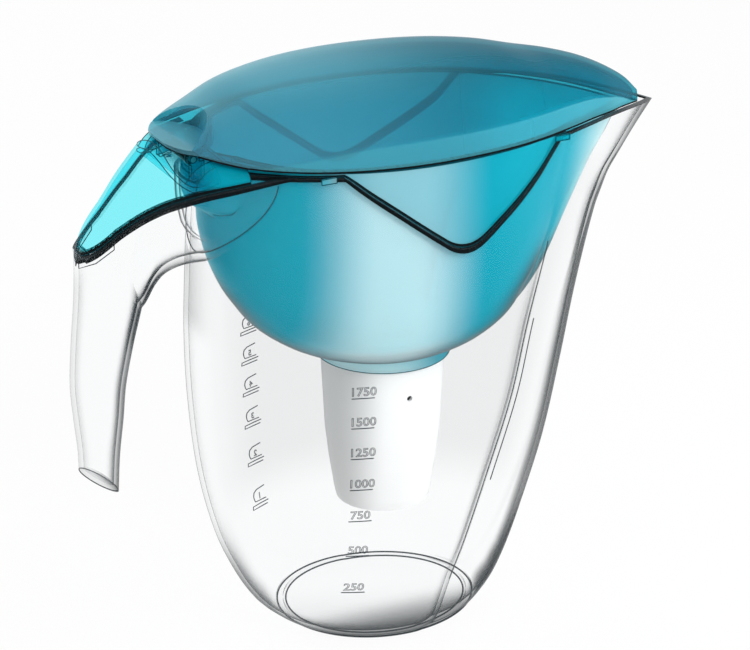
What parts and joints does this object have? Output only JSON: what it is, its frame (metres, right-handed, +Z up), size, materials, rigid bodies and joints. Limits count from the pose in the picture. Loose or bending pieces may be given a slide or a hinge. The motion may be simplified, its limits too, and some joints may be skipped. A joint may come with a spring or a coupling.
{
  "type": "water filter pitcher",
  "caption": "Clear water filter pitcher with a hollow open-ended handle, a lift-out coloured hopper that covers the handle, a domed flip lid and a drop-in filter cartridge.",
  "frame": {"origin": "middle of the footprint's box, on the surface that the pitcher stands on", "axes": "+X towards the spout, -X towards the handle, +Z up"},
  "size_m": [0.2996, 0.1378, 0.2746],
  "materials": {
    "clear_plastic": "clear polished",
    "cyan_plastic": "translucent polished",
    "teal_plastic": "translucent tinted, polished",
    "pin_plastic": "polished",
    "white_plastic": "fine satin",
    "seal_rubber": "satin",
    "screen_mesh": "fine mesh",
    "carbon": "granular",
    "felt": "felt",
    "resin": "granular beads"
  },
  "bodies": {
    "jug_body": {"jug": "clear_plastic", "jug_cup": "clear_plastic", "jug_handle": "clear_plastic"},
    "hopper_unit": {"hopper": "cyan_plastic", "hopper_top": "cyan_plastic", "hinge_pin": "pin_plastic"},
    "lid_unit": {"lid": "teal_plastic"},
    "cartridge": {"cartridge_body": "white_plastic", "cartridge_cap": "white_plastic", "cartridge_seal": "seal_rubber", "inlet_screen": "screen_mesh", "carbon_bed": "carbon", "felt_disc": "felt", "resin_bed": "resin", "outlet_screen": "screen_mesh"}
  },
  "joints": [
    {"name": "hopper_lift", "type": "slide", "parent": "jug_body", "child": "hopper_unit", "axis": [0, 0, 1], "range_m": [0, 0.195]},
    {"name": "lid_hinge", "type": "hinge", "parent": "hopper_unit", "child": "lid_unit", "pos_m": [-0.096, 0, 0.2465], "axis": [0, -1, 0], "range_deg": [0, 95]},
    {"name": "cartridge_lift", "type": "slide", "parent": "hopper_unit", "child": "cartridge", "axis": [0, 0, 1], "range_m": [0, 0.09]}
  ]
}
